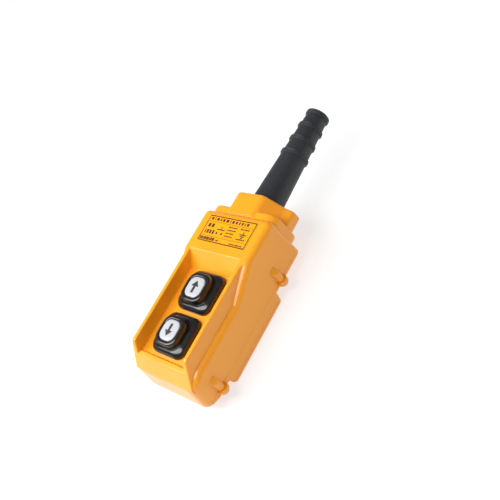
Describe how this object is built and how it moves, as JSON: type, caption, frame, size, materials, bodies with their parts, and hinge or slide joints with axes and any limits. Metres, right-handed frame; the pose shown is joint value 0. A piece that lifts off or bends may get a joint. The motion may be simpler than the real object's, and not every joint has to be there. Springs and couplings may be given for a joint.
{
  "type": "pendant control station",
  "caption": "Hand-held pendant control station with a shrouded recess for two rubber-booted push buttons and a ringed cable boot.",
  "frame": {"origin": "middle of the station's footprint on the surface that it lies on, under the back of the rear cover's tray", "axes": "+Z out of the button face, +Y towards the cable boot's tip along the long axis, +X to the right as seen from the front"},
  "size_m": [0.0796, 0.238, 0.0504],
  "materials": {
    "orange_shell": "satin moulded, yellow-orange",
    "boot_rubber": "matt",
    "button_rubber": "satin",
    "legend_white": "satin",
    "label_film": "satin print film",
    "black_rubber_seal": "matt",
    "screw_steel": "zinc plated",
    "plated_steel": "zinc plated",
    "spring_steel": "drawn wire",
    "brass": "plain",
    "inner_nylon": "moulded"
  },
  "bodies": {
    "housing": {"front_housing": "orange_shell", "rear_cover": "orange_shell", "cover_gasket": "black_rubber_seal", "cover_screws": "screw_steel", "threaded_inserts": "brass", "rating_label": "label_film", "cable_boot": "boot_rubber", "boot_retaining_ring": "inner_nylon", "cable_clamp": "plated_steel", "clamp_screws": "screw_steel", "boot_clamp_plate": "plated_steel", "contact_block_body": "inner_nylon", "terminal_base": "inner_nylon", "terminal_clamps": "plated_steel", "terminal_screws": "screw_steel", "block_screws": "screw_steel", "up_button_boot": "button_rubber", "up_return_spring": "spring_steel", "up_fixed_contacts": "brass", "down_button_boot": "button_rubber", "down_return_spring": "spring_steel", "down_fixed_contacts": "brass"},
    "up_button": {"up_legend_insert": "legend_white", "up_plunger": "inner_nylon", "up_contact_bridge": "brass"},
    "down_button": {"down_legend_insert": "legend_white", "down_plunger": "inner_nylon", "down_contact_bridge": "brass"}
  },
  "joints": [
    {"name": "up_button_travel", "type": "slide", "parent": "housing", "child": "up_button", "axis": [0, 0, -1], "range_m": [0, 0.004], "stiffness_N_per_m": 600, "springref_m": -0.004, "deforming": ["up_button_boot", "up_return_spring"]},
    {"name": "down_button_travel", "type": "slide", "parent": "housing", "child": "down_button", "axis": [0, 0, -1], "range_m": [0, 0.004], "stiffness_N_per_m": 600, "springref_m": -0.004, "deforming": ["down_button_boot", "down_return_spring"]}
  ]
}
